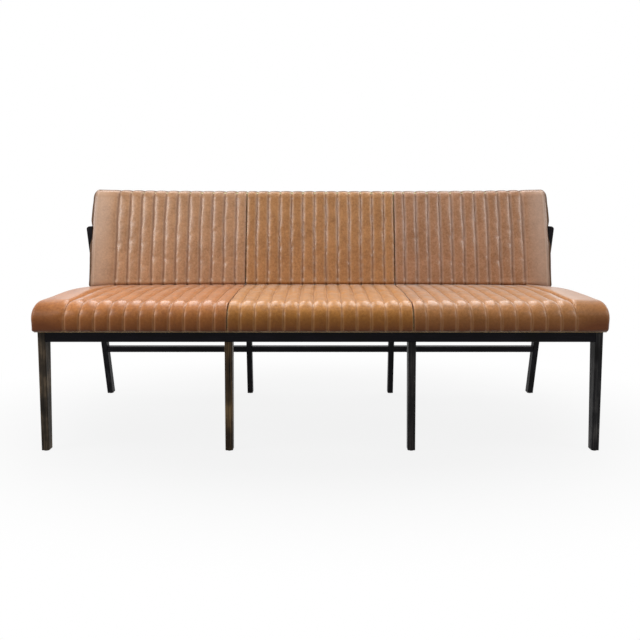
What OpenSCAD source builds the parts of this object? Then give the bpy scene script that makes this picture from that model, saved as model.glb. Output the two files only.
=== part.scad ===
// Dining bench: a dark-stained wooden frame on eight legs, with a channelled leather seat and back.
// Millimetres, Z up. X runs along the bench and Y from the front to the back.
// The origin is on the floor, under the middle of the bench.

/* [Seat] */
// Width of the upholstered seat
seat_w = 1836; // [1600:4:2200]
// Height of the frame's top edge, on which the seat rests
seat_z = 390; // [340:1:440]
// Thickness of the upholstered seat at its crest
seat_t = 96; // [84:1:130]
// Distance from the front of the front legs to the rear end of the seat
seat_d = 490; // [440:1:540]
// How far the seat's nose stands out in front of the legs
seat_nose = 28; // [15:1:40]
// Radius of the rounded ends of the seat, in plan and in height
seat_end_r = 38; // [25:1:45]
// Fall of the seat's top from the crest to the rear end
seat_fall = 11; // [6:1:14]
// Thickness of the plywood seat board
deck_t = 18; // [12:1:22]

/* [Back] */
// How far each side of the back lies inside the end of the seat
back_inset = 16; // [8:1:22]
// Height of the top of the back above the floor
back_h = 852; // [780:1:920]
// How far the foot of the back stands on the seat, from the seat's rear end to the face of the back
back_over = 63; // [60:0.5:68]
// Lean of the back from the vertical, in degrees
back_lean = 10.8; // [8:0.1:12]
// Thickness of the back without its rear panel
back_t = 61; // [56:1:66]
// Swell of the face of the back between its foot and its top
back_crown = 5; // [0:1:8]
// Thickness of the plywood sheet behind the foam of the back
back_ply_t = 6; // [4:1:9]
// Thickness of the rails and stiles of the back's frame, behind its plywood
back_rail_t = 23; // [18:1:26]
// Width of the rails and end stiles of the back's frame
stile_w = 28; // [24:1:34]
// Width of the two inner stiles, to which the straps are screwed
inner_stile_w = 50; // [42:1:60]
// Thickness of the rear leather panel with its card
rear_panel_t = 3; // [2:0.5:5]

/* [Channels] */
// Width of a sewn channel in the middle section
middle_channel_w = 45.9; // [42:0.1:50]
// Width of the narrower channel on each side of a seam
seam_channel_w = 41; // [36:1:46]
// Number of channels in the middle section
middle_channels = 13; // [9:2:15]
// Number of channels in each outer section
side_channels = 11; // [7:1:12]
// Width of the plain panel at each end of the seat, beyond the last groove
end_panel_w = 113.5; // [90:0.5:140]
// Depth of a sewn groove between two channels
groove_d = 6; // [3:0.5:8]
// Depth of the groove at a seam between two sections
seam_d = 9; // [6:0.5:10]
// Thickness of the quilted leather with its wadding
quilt_t = 12; // [11:1:15]

/* [Legs] */
// Thickness of a front leg, seen from the front
leg_t = 24.5; // [20:0.5:32]
// Depth of a front leg at its top
leg_top_d = 40.6; // [34:0.1:50]
// Depth of a front leg at the floor
leg_foot_d = 25.5; // [20:0.5:34]
// How far the foot of an end leg lies inside the end of the seat
leg_inset = 21; // [14:1:30]
// Outward cant of the two front end legs, in degrees
leg_cant = 0.7; // [0:0.1:1.5]
// Thickness of a rear leg, seen from the front
rear_t = 22; // [18:0.5:28]
// Depth of a rear leg
rear_d = 31; // [26:1:38]
// Forward rake of the rear legs, in degrees
rear_rake = 7.6; // [6:0.1:9]
// How far a rear post stands out from the side of the back, at its upper bolt
post_side = 22; // [18:0.5:26]
// Outward cant of the two rear posts, in degrees
post_cant = 3; // [2:0.1:3.6]
// Height of the rounded top of the rear posts
post_h = 705; // [640:1:740]
// Radius of the softened long edges of the frame
edge_r = 3; // [1:0.5:4]

/* [Rails] */
// Height of the front apron and of the rails
rail_h = 35; // [28:1:50]
// Thickness of the front apron
apron_t = 20; // [16:1:24]
// How far the apron is set back behind the face of the legs
apron_set = 1; // [0:0.5:3]
// Thickness of the side rails and the cross rails
rail_t = 18; // [14:1:20]
// Thickness of the rear rail at its top
rear_rail_t = 37; // [30:1:45]
// Height of the top of the rear stretcher
stretcher_z = 204.5; // [150:0.5:280]
// Height of the section of the rear stretcher
stretcher_h = 22.5; // [18:0.5:30]
// Depth of the section of the rear stretcher
stretcher_d = 27; // [20:1:28]
// Length of the sides of the corner blocks
block_l = 56; // [40:1:80]

/* [Hardware] */
// Diameter of the wooden dowels
dowel_dia = 6; // [5:0.5:8]
// Length of a dowel
dowel_l = 28; // [20:1:32]
// Diameter of the bolts that hold the back to the posts
bolt_dia = 6; // [5:0.5:8]
// Distance from the top of a post down to its upper bolt
bolt_down = 55; // [45:1:70]
// Depth that a post and the back share at the lower bolt
bolt_share = 22.5; // [20:0.5:26]
// Diameter of a foot glide
glide_dia = 18; // [14:1:20]
// Thickness of a foot glide below the leg
glide_t = 3; // [2:0.5:5]
// Width of the two steel straps behind the back
strap_w = 40; // [25:1:60]
// Thickness of a steel strap
strap_t = 5; // [3:0.5:6]

/* [Hidden] */

// Clearances: for pieces that lie face to face, for dowels in their holes and for soft pieces
gap = 0.1;
hole_gap = 0.1;
soft_gap = 0.3;
// A screw: its shank and its head
screw_dia = 4;
screw_head_dia = 8;
screw_head_h = 3;
stain = "#221f20";
leather = "#a9713f";
foam_colour = "#e8dfae";
plywood = "#c8a878";
steel = "#4a4a4c";

// The inner legs stand under the seams, and the seams follow from the channels.
seam_x = (middle_channels - 2) * middle_channel_w / 2 + seam_channel_w;
inner_x = seam_x;
last_groove_x = seat_w / 2 - end_panel_w;
side_channel_w = (last_groove_x - seam_x - seam_channel_w) / (side_channels - 1);
back_w = seat_w - 2 * back_inset;
back_set = seat_d - back_over;
seat_top = seat_z + seat_t;
seat_low = seat_z + 2;
seat_rear_top = seat_top - seat_fall;

leg_x = seat_w / 2 - leg_inset;
rear_y = seat_d + 2 + seat_top * tan(rear_rake);
bolt_top = post_h - bolt_down;
post_x = back_w / 2 + soft_gap + post_side - bolt_top * tan(post_cant);
rail_z = seat_z - rail_h;
function leg_back(z) = leg_foot_d + (leg_top_d - leg_foot_d) * z / seat_z;
function leg_out(z) = leg_x + z * tan(leg_cant);
function leg_in(z) = leg_out(z) - leg_t / cos(leg_cant);
function rear_front(z) = rear_y - z * tan(rear_rake);
function rear_back(z) = rear_front(z) + rear_d / cos(rear_rake);
function post_out(z) = post_x + z * tan(post_cant);
function post_in(z) = post_out(z) - rear_t / cos(post_cant);

// Places along Y are measured from the front of the legs; this puts the origin in the middle.
front_most = -seat_nose;
rear_most = rear_back(glide_t);
y_mid = (front_most + rear_most) / 2;

// The side rails lie where the front leg and the rear post both reach.
side_rail_out = min(leg_out(rail_z), post_out(rail_z)) - 0.5;
side_rail_in = side_rail_out - rail_t;
side_joint_x = (max(side_rail_in, post_in(seat_z)) + side_rail_out) / 2;
rear_rail_front = rear_front(seat_z) - rear_rail_t;

// The back is built upright in its own frame and then leant about its foot.
back_z = seat_rear_top + 2.5;
back_top_r = 24;
back_foot_r = 14;
back_side_r = 14;
back_len = (back_h - back_z + back_top_r * sin(back_lean)) / cos(back_lean);
function lean_y(z, depth) = back_set + depth / cos(back_lean) + (z - back_z) * tan(back_lean);

module place() { translate([0, -y_mid, 0]) children(); }
module both() {
    children();
    mirror([1, 0, 0]) children();
}
module lean() { translate([0, back_set, back_z]) rotate([-back_lean, 0, 0]) children(); }

// An outline drawn in Y and Z, drawn out along X from x0 to x1
module along_x(x0, x1) {
    translate([x0, 0, 0]) rotate([90, 0, 90]) linear_extrude(x1 - x0) children();
}

// An outline drawn in X and Z, drawn out along Y from y0 to y1
module along_y(y0, y1) {
    translate([0, y1, 0]) rotate([90, 0, 0]) linear_extrude(y1 - y0) children();
}

// A rectangle with round corners, from the corner at the origin
module soft_rect(w, h, r) {
    translate([r, 0]) square([w - 2 * r, h]);
    translate([0, r]) square([w, h - 2 * r]);
    for (x = [r, w - r]) for (y = [r, h - r]) translate([x, y]) circle(r, $fn = 32);
}

// FRAME

// A front leg stands on its outer face at x = 0 and runs towards negative x before it is canted.
module front_leg_blank(cant) {
    reach = leg_top_d + 10;
    taper = atan((leg_top_d - leg_foot_d) / seat_z);
    intersection() {
        rotate([0, cant, 0]) intersection() {
            along_x(-leg_t, 0) polygon([
                [0, -10], [leg_back(-10), -10], [leg_back(seat_z + 10), seat_z + 10], [0, seat_z + 10]
            ]);
            translate([-leg_t, 0, -10]) linear_extrude(seat_z + 20) soft_rect(leg_t, reach, edge_r);
            translate([-leg_t, leg_foot_d, 0]) rotate([-taper, 0, 0]) translate([0, -reach, -15])
                linear_extrude(seat_z + 30) soft_rect(leg_t, reach, edge_r);
        }
        translate([-leg_t - 20, -5, glide_t]) cube([leg_t + 40, reach + 5, seat_z - glide_t]);
    }
}

module front_leg() {
    color(stain) difference() {
        place() translate([leg_x, 0, 0]) front_leg_blank(leg_cant);
        apron_dowels(hole_gap);
        side_dowels(hole_gap);
        glide_pegs(hole_gap);
    }
}

// An inner front leg is lapped behind the apron, which passes through its face.
module front_leg_inner() {
    color(stain) difference() {
        place() translate([inner_x + leg_t / 2, 0, 0]) front_leg_blank(0);
        place() translate([inner_x - leg_t, -1, rail_z - gap])
            cube([2 * leg_t, apron_set + apron_t + 1 + gap, rail_h + 1]);
        cross_dowels(hole_gap);
        glide_pegs(hole_gap);
    }
}

// A rear leg's straight bar, raked forward and canted outward, cut level at the floor
module rear_bar(cant, top) {
    difference() {
        rotate([0, cant, 0]) rotate([rear_rake, 0, 0]) translate([-rear_t, 0, -20])
            linear_extrude(top / cos(rear_rake) + 40) soft_rect(rear_t, rear_d, edge_r);
        translate([-100, -100, glide_t - 60]) cube([200, 200, 60]);
        children();
    }
}

// The rear post goes past the side of the back, and its inner face is cut flat there to seat the back.
module rear_post() {
    cut_x = back_w / 2 + soft_gap;
    tip_r = 14;
    color(stain) difference() {
        place() intersection() {
            translate([post_x, rear_y, 0]) rear_bar(post_cant, post_h);
            along_y(rear_front(post_h) - 60, rear_back(0) + 20) union() {
                polygon([
                    [post_in(0) - 10, 0], [post_out(0) + 10, 0],
                    [post_out(post_h - tip_r) + 0.5, post_h - tip_r], [post_in(post_h) - 10, post_h - tip_r]
                ]);
                translate([post_out(post_h - tip_r) - tip_r, post_h - tip_r]) circle(tip_r, $fn = 48);
                translate([post_in(post_h) - 10, post_h - tip_r - 1])
                    square([rear_t + 10 - tip_r, tip_r + 1]);
            }
        }
        place() translate([cut_x - 60, back_set, seat_top - 8]) cube([60, 200, post_h]);
        side_dowels(hole_gap);
        stretcher_dowels(hole_gap);
        bolts(hole_gap);
        glide_pegs(hole_gap);
    }
}

module rear_leg_inner() {
    color(stain) difference() {
        place() translate([inner_x + rear_t / 2, rear_y, 0]) rear_bar(0, seat_z)
            translate([-100, -200, seat_z]) cube([200, 400, 200]);
        leg_dowels(hole_gap);
        stretcher_dowels(hole_gap);
        glide_pegs(hole_gap);
    }
}

module front_apron() {
    color(stain) difference() {
        place() intersection() {
            along_x(-leg_out(seat_z), leg_out(seat_z)) translate([apron_set, rail_z])
                soft_rect(apron_t, rail_h, edge_r / 2);
            along_y(-1, apron_set + apron_t + 1) polygon([
                [-leg_in(rail_z) + gap, rail_z], [leg_in(rail_z) - gap, rail_z],
                [leg_in(seat_z) - gap, seat_z], [-leg_in(seat_z) + gap, seat_z]
            ]);
        }
        apron_dowels(hole_gap);
        mirror([1, 0, 0]) apron_dowels(hole_gap);
        block_screw_bores();
    }
}

// A side rail runs from the rear of the front leg to the front of the rear post.
module side_rail() {
    color(stain) difference() {
        place() along_x(side_rail_in, side_rail_out) polygon([
            [leg_back(rail_z) + gap, rail_z], [rear_front(rail_z) - gap, rail_z],
            [rear_front(seat_z) - gap, seat_z], [leg_back(seat_z) + gap, seat_z]
        ]);
        side_dowels(hole_gap);
        rear_rail_dowels(hole_gap);
        seat_screw_bores();
        block_screw_bores();
    }
}

module cross_rail() {
    color(stain) difference() {
        place() along_x(inner_x - rail_t / 2, inner_x + rail_t / 2) polygon([
            [leg_back(rail_z) + gap, rail_z], [rear_rail_front - gap, rail_z],
            [rear_rail_front - gap, seat_z], [leg_back(seat_z) + gap, seat_z]
        ]);
        cross_dowels(hole_gap);
        seat_screw_bores();
    }
}

// The rear rail lies against the raked fronts of the rear legs.
module rear_rail() {
    color(stain) difference() {
        place() along_x(-side_rail_in + gap, side_rail_in - gap) polygon([
            [rear_rail_front, rail_z], [rear_front(rail_z) - gap, rail_z],
            [rear_front(seat_z) - gap, seat_z], [rear_rail_front, seat_z]
        ]);
        both() rear_rail_dowels(hole_gap);
        both() cross_dowels(hole_gap);
        both() leg_dowels(hole_gap);
        block_screw_bores();
        strap_screw_bores();
    }
}

// The stretcher's three lengths share one section, centred in the depth of the rear legs.
stretcher_mid_z = stretcher_z - stretcher_h / 2;
stretcher_y = (rear_front(stretcher_mid_z) + rear_back(stretcher_mid_z) - stretcher_d) / 2;
module stretcher_bar(x0, x1) {
    place() along_x(x0, x1) translate([stretcher_y, stretcher_z - stretcher_h])
        soft_rect(stretcher_d, stretcher_h, edge_r / 2);
}

module stretcher_side() {
    low = stretcher_z - stretcher_h;
    color(stain) difference() {
        intersection() {
            stretcher_bar(inner_x + rear_t / 2 + gap, post_out(stretcher_z));
            place() along_y(rear_front(seat_z), rear_back(0)) polygon([
                [inner_x, low], [post_in(low) - gap, low],
                [post_in(stretcher_z) - gap, stretcher_z], [inner_x, stretcher_z]
            ]);
        }
        stretcher_dowels(hole_gap);
    }
}

module stretcher_middle() {
    color(stain) difference() {
        stretcher_bar(-inner_x + rear_t / 2 + gap, inner_x - rear_t / 2 - gap);
        both() stretcher_dowels(hole_gap);
    }
}

// Blocks in the four end corners of the frame: two behind the apron and two before the rear rail
module corner_blocks() {
    apron_back = apron_set + apron_t + gap;
    leg_side = leg_in(rail_z) - soft_gap;
    rail_side = side_rail_in - gap;
    block_h = rail_h - 10;
    color(plywood) difference() {
        place() both() translate([0, 0, rail_z + 5]) {
            linear_extrude(block_h) polygon([
                [leg_side, apron_back], [leg_side, leg_top_d + soft_gap], [rail_side, leg_top_d + soft_gap],
                [rail_side, apron_back + block_l], [leg_side - block_l, apron_back]
            ]);
            linear_extrude(block_h) polygon([
                [rail_side, rear_rail_front - gap], [rail_side, rear_rail_front - gap - block_l],
                [rail_side - block_l, rear_rail_front - gap]
            ]);
        }
        block_screw_bores();
    }
}

// JOINTS AND FASTENERS

module dowel(more) {
    cylinder(d = dowel_dia + 2 * more, h = dowel_l + 2 * more, center = true, $fn = 32);
}
dowel_rows = [rail_z + rail_h * 0.3, rail_z + rail_h * 0.7];

// Between the apron and an end leg
module apron_dowels(more) {
    for (z = dowel_rows) place() translate([leg_in(z), apron_set + apron_t / 2, z])
        rotate([0, 90, 0]) dowel(more);
}

// Between a side rail and the front leg, and between it and the rear post
module side_dowels(more) {
    for (z = dowel_rows) place() {
        translate([side_joint_x, leg_back(z), z]) rotate([90, 0, 0]) dowel(more);
        translate([side_joint_x, rear_front(z), z]) rotate([90, 0, 0]) dowel(more);
    }
}

// Between a cross rail and the inner front leg, and between it and the rear rail
module cross_dowels(more) {
    for (z = dowel_rows) place() {
        translate([inner_x, leg_back(z) - 2, z]) rotate([90, 0, 0]) dowel(more);
        translate([inner_x, rear_rail_front, z]) rotate([90, 0, 0]) dowel(more);
    }
}

// Between the rear rail and a side rail
module rear_rail_dowels(more) {
    for (z = dowel_rows) place() translate([side_rail_in - 2, rear_rail_front + rear_rail_t / 2, z])
        rotate([0, 90, 0]) dowel(more);
}

// Between the rear rail and an inner rear leg
module leg_dowels(more) {
    for (z = dowel_rows) place() translate([inner_x, rear_front(z) + 3, z]) rotate([90, 0, 0]) dowel(more);
}

// One at each end of each length of the stretcher; the two at an inner leg lie one above the other.
module stretcher_dowels(more) {
    y = stretcher_y + stretcher_d / 2;
    step = stretcher_h * 0.22;
    place() {
        translate([post_in(stretcher_mid_z), y, stretcher_mid_z]) rotate([0, 90, 0]) dowel(more);
        translate([inner_x + rear_t / 2 + 4, y, stretcher_mid_z + step]) rotate([0, 90, 0]) dowel(more);
        translate([inner_x - rear_t / 2 - 4, y, stretcher_mid_z - step]) rotate([0, 90, 0]) dowel(more);
    }
}

module dowels() {
    color(plywood) both() {
        apron_dowels(0);
        side_dowels(0);
        cross_dowels(0);
        rear_rail_dowels(0);
        leg_dowels(0);
        stretcher_dowels(0);
    }
}

// A screw stands on its head and points up; its bore has room for both.
module screw(l, more) {
    cylinder(d = screw_dia + 2 * more, h = l + more, $fn = 24);
    translate([0, 0, -more]) cylinder(d = screw_head_dia + 2 * more, h = screw_head_h + more, $fn = 24);
}

// Screws from below, through the side rails and cross rails into the seat board
seat_screw_deep = 14;
seat_screw_in = 90;
module seat_screw_places() {
    rows = [leg_top_d + seat_screw_in, rear_rail_front - seat_screw_in];
    for (x = [side_rail_in + rail_t / 2, inner_x]) for (y = rows)
        place() translate([x, y, rail_z + seat_screw_deep]) children();
}
module seat_screw_bores() {
    both() seat_screw_places() {
        screw(seat_z - rail_z - seat_screw_deep + deck_t * 0.6, hole_gap);
        translate([0, 0, -seat_screw_deep - 1])
            cylinder(d = screw_head_dia + 2 * hole_gap, h = seat_screw_deep + 1.5, $fn = 24);
    }
}
module seat_screws() {
    color(steel) both() seat_screw_places() screw(seat_z - rail_z - seat_screw_deep + deck_t * 0.6, 0);
}

// Each corner block has one screw into the apron or rear rail and one into the side rail.
block_screw_l = 26;
module block_screw_places() {
    mid_z = rail_z + rail_h / 2;
    in = 14;
    both() place() {
        translate([leg_in(rail_z) - block_l * 0.6, apron_set + apron_t + in, mid_z])
            rotate([90, 0, 0]) children();
        translate([side_rail_in - in, leg_top_d + block_l * 0.3, mid_z])
            rotate([0, 90, 0]) children();
        translate([side_rail_in - block_l * 0.55, rear_rail_front - in, mid_z])
            rotate([-90, 0, 0]) children();
        translate([side_rail_in - in, rear_rail_front - block_l * 0.55, mid_z])
            rotate([0, 90, 0]) children();
    }
}
module block_screw_bores() {
    block_screw_places() {
        screw(block_screw_l, hole_gap);
        translate([0, 0, -block_l]) cylinder(d = screw_head_dia + 2 * hole_gap, h = block_l + 1, $fn = 24);
    }
}
module block_screws() { color(steel) block_screw_places() screw(block_screw_l, 0); }

// A glide is a nylon disc under each leg, with a peg in the end of the leg.
glide_peg_dia = 6;
glide_peg_l = 16;
module glide_places() {
    post_foot_x = (post_out(0) + post_in(0)) / 2;
    rear_foot_y = (rear_front(0) + rear_back(0)) / 2;
    for (x = [leg_x - leg_t / 2, inner_x]) place() translate([x, leg_foot_d / 2, 0]) children();
    for (x = [post_foot_x, inner_x]) place() translate([x, rear_foot_y, 0]) children();
}
module glide_pegs(more) {
    glide_places() translate([0, 0, glide_t - more])
        cylinder(d = glide_peg_dia + 2 * more, h = glide_peg_l + 2 * more, $fn = 24);
}
module foot_glides() {
    color("#2a2a2a") both() {
        glide_pegs(0);
        glide_places() cylinder(d = glide_dia, h = glide_t, $fn = 48);
    }
}

// SEAT

// Outline of the seat's foam in Y and Z, with the same round nose as the leather, quilt_t inside it
deck_front = -seat_nose + quilt_t + soft_gap;
deck_rear = seat_d - quilt_t;
deck_half = seat_w / 2 - quilt_t - 2;
foam_top = seat_rear_top - quilt_t;
nose_r = 46;
module seat_pocket(more) {
    r = nose_r - quilt_t;
    top = foam_top + more;
    translate([deck_front - more + r, seat_z - 1])
        square([deck_rear - deck_front - r + 2 * more, top - seat_z + 1]);
    translate([deck_front - more, seat_z - 1]) square([r + 1, top - seat_z - r + 1]);
    intersection() {
        translate([deck_front - more + r, top - r]) circle(r, $fn = 64);
        translate([deck_front - more, top - r - 0.5]) square([r + 1, r + 1]);
    }
}

module seat_board() {
    color(plywood) difference() {
        place() translate([-deck_half, deck_front, seat_z])
            cube([2 * deck_half, deck_rear - deck_front, deck_t]);
        seat_screw_bores();
    }
}

module seat_foam() {
    end_r = seat_end_r - quilt_t;
    color(foam_colour) place() intersection() {
        along_x(-deck_half, deck_half) seat_pocket(0);
        along_y(deck_front - 10, deck_rear + 10) union() {
            translate([-deck_half + end_r, seat_z]) square([2 * (deck_half - end_r), foam_top - seat_z + 1]);
            translate([-deck_half, seat_z]) square([2 * deck_half, foam_top - end_r - seat_z]);
            for (x = [-1, 1]) translate([x * (deck_half - end_r), foam_top - end_r]) circle(end_r, $fn = 64);
        }
        translate([-deck_half, deck_front - 10, seat_z + deck_t + gap])
            cube([2 * deck_half, seat_d + 50, seat_t]);
    }
}

// Black cloth stapled to the underside of the seat board in the three bays of the frame
module dust_cover() {
    cloth_t = 0.8;
    in = 3;
    front = leg_top_d + in;
    long = rear_rail_front - in - front;
    color("#151515") place() translate([0, front, seat_z - cloth_t - gap]) {
        translate([-inner_x + rail_t / 2 + in, 0, 0]) cube([2 * inner_x - rail_t - 2 * in, long, cloth_t]);
        both() translate([inner_x + rail_t / 2 + in, block_l / 2, 0])
            cube([side_rail_in - inner_x - rail_t / 2 - 2 * in, long - block_l, cloth_t]);
    }
}

// The leather covers are lofted from rings. A station is [x, s, e]: the ring at x is drawn in by s
// at its padded faces, and by e at the foot and the rear, which only the ends need.
function channel_rows(x, widths, i = 0) = i >= len(widths) ? [] : concat(
    [[x + widths[i] / 3, 0.5, 0], [x + widths[i] * 2 / 3, 0.5, 0]],
    i == len(widths) - 1 ? [] : [[x + widths[i], groove_d, 0]],
    channel_rows(x + widths[i], widths, i + 1)
);
middle_widths = [for (i = [1:middle_channels])
    i == 1 || i == middle_channels ? seam_channel_w : middle_channel_w];
side_widths = [for (i = [1:side_channels]) i == 1 ? seam_channel_w : side_channel_w];

middle_rows = concat(
    [[-seam_x + gap, seam_d, 0]],
    channel_rows(-seam_x, middle_widths),
    [[seam_x - gap, seam_d, 0]]
);
// Beyond the last groove lies a plain panel, and then the round end of radius r.
function side_rows(half, r) = concat(
    [[seam_x + gap, seam_d, 0]],
    channel_rows(seam_x, side_widths),
    [[last_groove_x, groove_d, 0], [last_groove_x + 9, 1.5, 0], [(last_groove_x + half - r) / 2, 0, 0]],
    [for (a = [0, 28, 52, 74, 90]) [half - r + r * sin(a), r * (1 - cos(a)), a < 80 ? 0 : 0.2 * r]]
);

seat_side_rows = side_rows(seat_w / 2, seat_end_r);
back_side_rows = side_rows(back_w / 2, back_side_r);

// Ring of the seat in Y and Z: the rear, the falling top, the round nose and the tucked front foot
function seat_ring(s, e) =
    let (top = seat_top - s, nose = -seat_nose + s, low = seat_low + e, rear = seat_d - e,
        foot_r = 14, nose_h = min(62 - s * 0.5, top - low - foot_r - 1), nose_l = nose_r - s * 0.3)
    concat(
        [[rear, low], [rear, top - seat_fall - 5], [rear - 8, top - seat_fall]],
        [for (t = [0.72, 0.4]) [nose + nose_l + (rear - nose - nose_l) * t, top - seat_fall * t * t]],
        [for (a = [90:-18:0]) [nose + nose_l - nose_l * cos(a), top - nose_h + nose_h * sin(a)]],
        [for (a = [0:36:72]) [nose + foot_r - foot_r * cos(a), low + foot_r - foot_r * sin(a)]],
        [[nose + foot_r, low]]
    );

// Ring of the back in its own frame: the rear, the rolled top, the swelling face and the foot.
// The foot is cut level, so it follows the lean.
function back_ring(s, e) =
    let (top = back_len - s, face = s, rear = back_t - e, top_r = back_top_r, foot_r = back_foot_r,
        low = e + 1 + s * 0.3, rise = tan(back_lean))
    concat(
        [[rear, low + rear * rise], [rear, top - 10], [rear - 7, top - 2]],
        [for (a = [90:-30:0]) [face + top_r - top_r * cos(a), top - top_r + top_r * sin(a)]],
        [for (t = [0.75, 0.5, 0.25]) [face - back_crown * sin(180 * t), foot_r + (top - top_r - foot_r) * t]],
        [for (a = [0:30:90])
            [face + foot_r - foot_r * cos(a), low + 2 + face * rise + foot_r * (1 - sin(a))]]
    );

// Closed skin over rings of n points each, in the order of rising x
module loft(rows, rings) {
    n = len(rings[0]);
    m = len(rows);
    points = [for (i = [0:m - 1]) for (p = rings[i]) [rows[i][0], p[0], p[1]]];
    sides = [for (i = [0:m - 2]) for (j = [0:n - 1]) let (k = (j + 1) % n, a = i * n, b = a + n)
        each [[a + j, b + j, b + k], [a + j, b + k, a + k]]];
    first = [for (j = [1:n - 2]) [0, j, j + 1]];
    last = [for (j = [1:n - 2]) [(m - 1) * n, (m - 1) * n + j + 1, (m - 1) * n + j]];
    polyhedron(points, concat(sides, first, last), convexity = 6);
}

module seat_cover(rows) {
    rings = [for (row = rows) seat_ring(row[1], row[2])];
    in_x = deck_half + soft_gap;
    color(leather) difference() {
        place() loft(rows, rings);
        place() along_x(-in_x, in_x) seat_pocket(soft_gap);
    }
}

// BACK

frame_in = quilt_t + soft_gap;
back_half_in = back_w / 2 - quilt_t - soft_gap;
// The frame stops short of the rolled foot and the rolled top of the back.
foot_roll = 16;
top_roll = 4;
foot_in = frame_in + foot_roll;
top_in = back_len - quilt_t - top_roll;
foam_rear = back_t - back_ply_t - back_rail_t;
frame_front = foam_rear + gap + back_ply_t + gap;
frame_rear = back_t - soft_gap;

// A block from corner a to corner b
module block(a, b) { translate(a) cube(b - a); }

module cushion_pocket() {
    place() lean() translate([0, frame_in - soft_gap, 0]) block(
        [-back_half_in - soft_gap, 0, foot_in - soft_gap],
        [back_half_in + soft_gap, back_t + 10, top_in + soft_gap]
    );
}

module back_end_stile() {
    color(plywood) difference() {
        place() lean() block([back_half_in - stile_w, frame_in, foot_in], [back_half_in, frame_rear, top_in]);
        bolts(hole_gap);
    }
}

module back_inner_stile() {
    color(plywood) difference() {
        place() lean() block(
            [strap_x - inner_stile_w / 2, frame_front, foot_in + stile_w + gap],
            [strap_x + inner_stile_w / 2, frame_rear, top_in - stile_w - gap]
        );
        strap_screw_bores();
    }
}

module back_long_rail(low) {
    end = back_half_in - stile_w - gap;
    color(plywood) place() lean() block([-end, frame_front, low], [end, frame_rear, low + stile_w]);
}

module back_ply() {
    end = back_half_in - stile_w - gap;
    color(plywood) place() lean() block(
        [-end, foam_rear + gap, foot_in], [end, foam_rear + gap + back_ply_t, top_in]
    );
}

module back_foam() {
    end = back_half_in - stile_w - gap;
    color(foam_colour) place() lean() block([-end, frame_in, foot_in], [end, foam_rear, top_in]);
}

module back_cover(rows) {
    rings = [for (row = rows) back_ring(row[1], row[2])];
    color(leather) difference() {
        place() lean() loft(rows, rings);
        cushion_pocket();
        both() bolts(hole_gap);
    }
}

module back_rear_panel() {
    in = 6;
    color(leather) difference() {
        place() lean() block(
            [-back_w / 2 + in, back_t + gap, back_t * tan(back_lean) + in],
            [back_w / 2 - in, back_t + gap + rear_panel_t, back_len - 12]
        );
        strap_screw_bores();
    }
}

// Two bent steel straps join the rear rail to the frame of the back, one beside each inner rear leg.
strap_x = inner_x + rear_t / 2 + 6 + strap_w / 2;
strap_back = back_t + 2 * gap + rear_panel_t;
strap_reach = 190;
function leaned(y, z) = [
    back_set + y * cos(back_lean) + z * sin(back_lean), back_z - y * sin(back_lean) + z * cos(back_lean)
];
module back_strap() {
    low = rail_z + 3;
    bend_y = rear_front(seat_z) + gap;
    bend_z = (bend_y - back_set - strap_back * cos(back_lean)) / sin(back_lean);
    bend = leaned(strap_back, bend_z);
    tip = leaned(strap_back, strap_reach);
    out = leaned(strap_back + strap_t, strap_reach);
    rake = strap_t / cos(rear_rake);
    color(steel) difference() {
        place() along_x(strap_x - strap_w / 2, strap_x + strap_w / 2) polygon([
            [rear_front(low), low], [rear_front(seat_z), seat_z], bend, tip, out,
            bend + [strap_t, -strap_t * tan(back_lean / 2)],
            [rear_front(seat_z) + strap_t, seat_z + strap_t * tan(rear_rake / 2)],
            [rear_front(low) + rake, low]
        ]);
        strap_screw_bores();
    }
}

strap_screw_l = 24;
module strap_screw_places() {
    both() place() {
        for (z = dowel_rows) translate([strap_x, rear_front(z) + strap_t + screw_head_h, z])
            rotate([90 + rear_rake, 0, 0]) children();
        for (z = [strap_reach - 15, strap_reach - 55]) lean()
            translate([strap_x, strap_back + strap_t + screw_head_h - 0.5, z]) rotate([90, 0, 0]) children();
    }
}
module strap_screw_bores() { strap_screw_places() screw(strap_screw_l, hole_gap); }
module strap_screws() { color(steel) strap_screw_places() screw(strap_screw_l, 0); }

// Two bolts through each post into the end stile of the back, in the middle of the depth they share
bolt_l = 46;
bolt_head_dia = 11;
bolt_head_h = 4;
// The lower bolt lies where the raked post and the leaning back first share that depth.
bolt_low = (bolt_share + rear_y - lean_y(0, frame_rear)) / (tan(rear_rake) + tan(back_lean));
bolt_rows = [bolt_low, bolt_top];
function bolt_y(z) = (max(rear_front(z), lean_y(z, frame_in)) + min(rear_back(z), lean_y(z, frame_rear))) / 2;
module bolts(more) {
    for (z = bolt_rows) place() translate([post_out(z) - bolt_l - 1, bolt_y(z), z]) rotate([0, 90, 0]) {
        cylinder(d = bolt_dia + 2 * more, h = bolt_l, $fn = 32);
        translate([0, 0, bolt_l - bolt_head_h])
            cylinder(d = bolt_head_dia + 2 * more, h = bolt_head_h + 20 * more, $fn = 32);
    }
}
module post_bolts() { color(steel) both() bolts(0); }

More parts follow.
